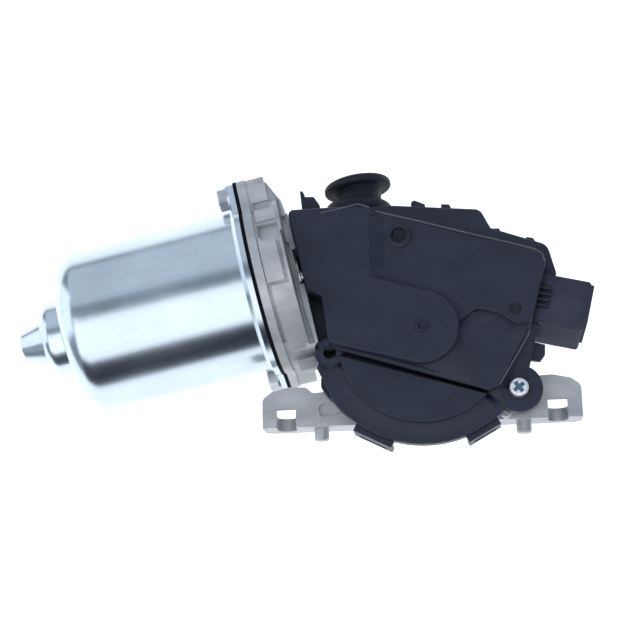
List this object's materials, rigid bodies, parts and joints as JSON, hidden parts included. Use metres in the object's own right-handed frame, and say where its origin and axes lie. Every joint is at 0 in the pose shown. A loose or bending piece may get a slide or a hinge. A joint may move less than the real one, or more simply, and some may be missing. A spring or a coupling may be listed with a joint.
{
  "type": "windscreen wiper motor",
  "caption": "Brushed motor in a drawn steel can driving an output shaft through a worm and wheel, in a cast housing with a moulded cover, feet and a rubber mounting cushion.",
  "frame": {"origin": "on the output shaft's axis, where its threaded end meets the serrated taper", "axes": "+Z along the output shaft towards the moulded cover, +X along the two mounting feet towards the connector, +Y towards the rubber cushion"},
  "size_m": [0.2144, 0.1032, 0.0726],
  "materials": {
    "zinc_steel": "zinc plated, satin",
    "gasket_rubber": "matte",
    "bolt_steel": "zinc plated",
    "ferrite": "ground, dull",
    "spring_steel": "bright",
    "shaft_steel": "ground",
    "core_steel": "stacked sheet",
    "insulation": "matte",
    "copper": "enamelled or turned copper",
    "bronze": "sintered, oiled",
    "carbon": "pressed carbon",
    "board": "moulded",
    "acetal": "moulded, natural",
    "brass_sheet": "stamped",
    "plated_sheet": "tinned",
    "cast_alloy": "die cast, fine matte grain",
    "cover_plastic": "moulded, fine satin",
    "connector_plastic": "moulded, matte",
    "cushion_rubber": "matte",
    "sleeve_steel": "zinc plated"
  },
  "bodies": {
    "housing": {"motor_can": "zinc_steel", "can_gasket": "gasket_rubber", "can_bolts": "bolt_steel", "field_magnets": "ferrite", "magnet_clips": "spring_steel", "bearing_outer_race": "shaft_steel", "bearing_balls": "shaft_steel", "rear_bush": "bronze", "bush_retainer": "spring_steel", "rear_seat": "board", "thrust_pad": "insulation", "worm_end_bush": "bronze", "low_speed_spring": "spring_steel", "common_spring": "spring_steel", "high_speed_spring": "spring_steel", "brush_tubes": "brass_sheet", "brush_plate": "board", "suppression_chokes": "copper", "output_bushes": "bronze", "shaft_seal": "gasket_rubber", "gear_housing": "cast_alloy", "gear_cover": "cover_plastic", "cover_seal": "gasket_rubber", "cover_screw": "bolt_steel", "terminal_base": "connector_plastic", "connector_shroud": "connector_plastic", "connector_terminals": "plated_sheet", "contact_carrier": "board", "park_fingers": "brass_sheet", "circuit_breaker": "plated_sheet", "mount_cushion": "cushion_rubber", "cushion_sleeve": "sleeve_steel"},
    "output": {"output_shaft": "shaft_steel", "worm_wheel": "acetal", "wheel_hub": "shaft_steel", "cam_plate": "brass_sheet", "thrust_washer": "spring_steel", "outer_washer": "spring_steel", "retaining_ring": "spring_steel"},
    "armature": {"armature_shaft": "shaft_steel", "armature_core": "core_steel", "core_insulators": "insulation", "armature_windings": "copper", "commutator": "copper", "commutator_sleeve": "board", "bearing_inner_race": "shaft_steel", "thrust_ball": "shaft_steel"},
    "low_speed_brush": {"low_speed_brush": "carbon"},
    "common_brush": {"common_brush": "carbon"},
    "high_speed_brush": {"high_speed_brush": "carbon"}
  },
  "joints": [
    {"name": "armature_spin", "type": "hinge", "parent": "housing", "child": "armature", "pos_m": [-0.00717, 0.03375, 0.03], "axis": [0.9781, 0.2079, 0], "continuous": true},
    {"name": "output_spin", "type": "hinge", "parent": "housing", "child": "output", "pos_m": [0, 0, 0], "axis": [0, 0, 1], "continuous": true},
    {"name": "low_speed_brush_slide", "type": "slide", "parent": "housing", "child": "low_speed_brush", "axis": [0, 0, 1], "range_m": [0, 0.003], "stiffness_N_per_m": 150, "springref_m": -0.01, "deforming": ["low_speed_spring"]},
    {"name": "common_brush_slide", "type": "slide", "parent": "housing", "child": "common_brush", "axis": [0, 0, -1], "range_m": [0, 0.003], "stiffness_N_per_m": 150, "springref_m": -0.01, "deforming": ["common_spring"]},
    {"name": "high_speed_brush_slide", "type": "slide", "parent": "housing", "child": "high_speed_brush", "axis": [-0.1884, 0.8865, 0.4226], "range_m": [0, 0.003], "stiffness_N_per_m": 150, "springref_m": -0.01, "deforming": ["high_speed_spring"]}
  ],
  "couplings": [
    {"joint": "output_spin", "follows": "armature_spin", "ratio": 0.016949}
  ]
}
